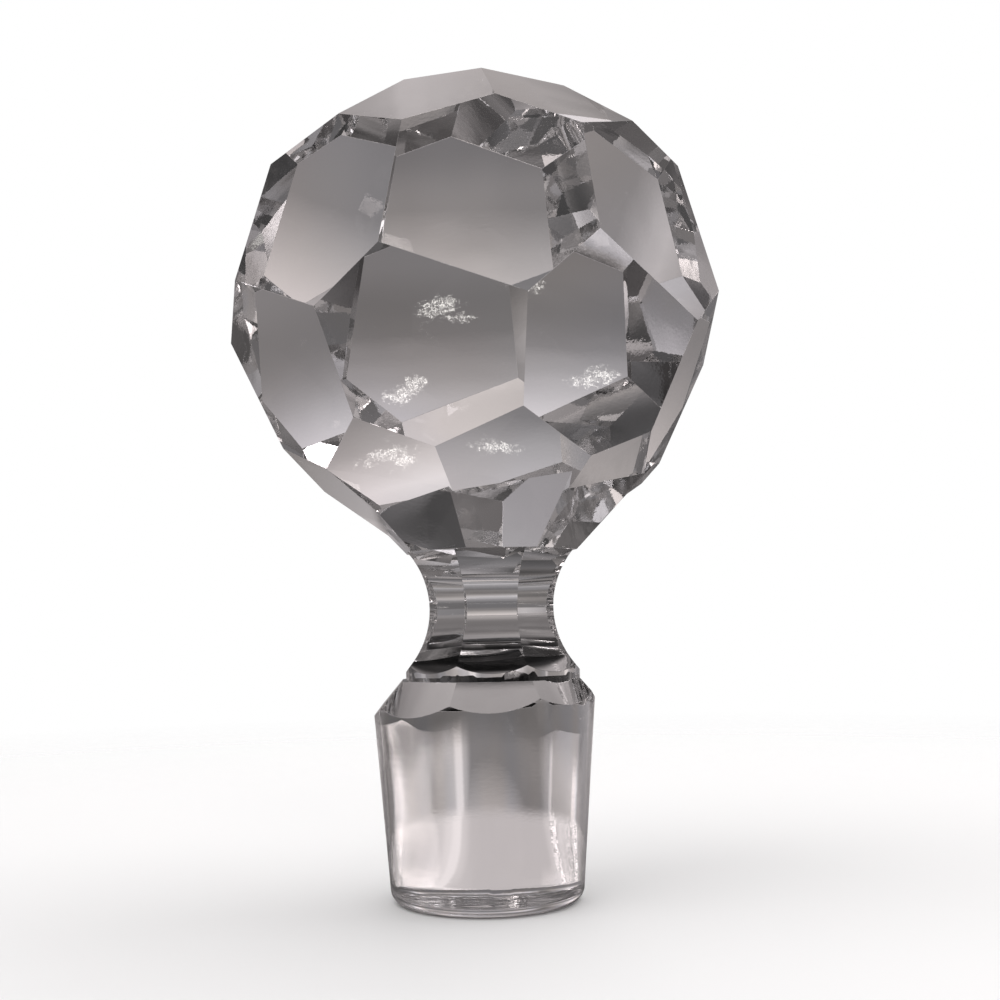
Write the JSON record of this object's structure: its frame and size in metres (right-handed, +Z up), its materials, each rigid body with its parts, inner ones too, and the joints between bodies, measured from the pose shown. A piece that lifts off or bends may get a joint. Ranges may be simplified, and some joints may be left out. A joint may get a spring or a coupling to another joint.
{
  "type": "glass stopper",
  "caption": "Solid cut-glass stopper with a faceted ball head, a fluted waisted neck, a faceted shoulder and a tapered ground plug.",
  "frame": {"origin": "centre of the plug's flat base", "axes": "+Z up along the stopper's axis from the base to the flat top of the ball; -Y is the side seen from the front, +X to its right"},
  "size_m": [0.0542, 0.0546, 0.0913],
  "materials": {
    "crystal": "polished clear cut glass, plug side finely ground and polished"
  },
  "bodies": {
    "root": {"stopper": "crystal"}
  },
  "joints": []
}
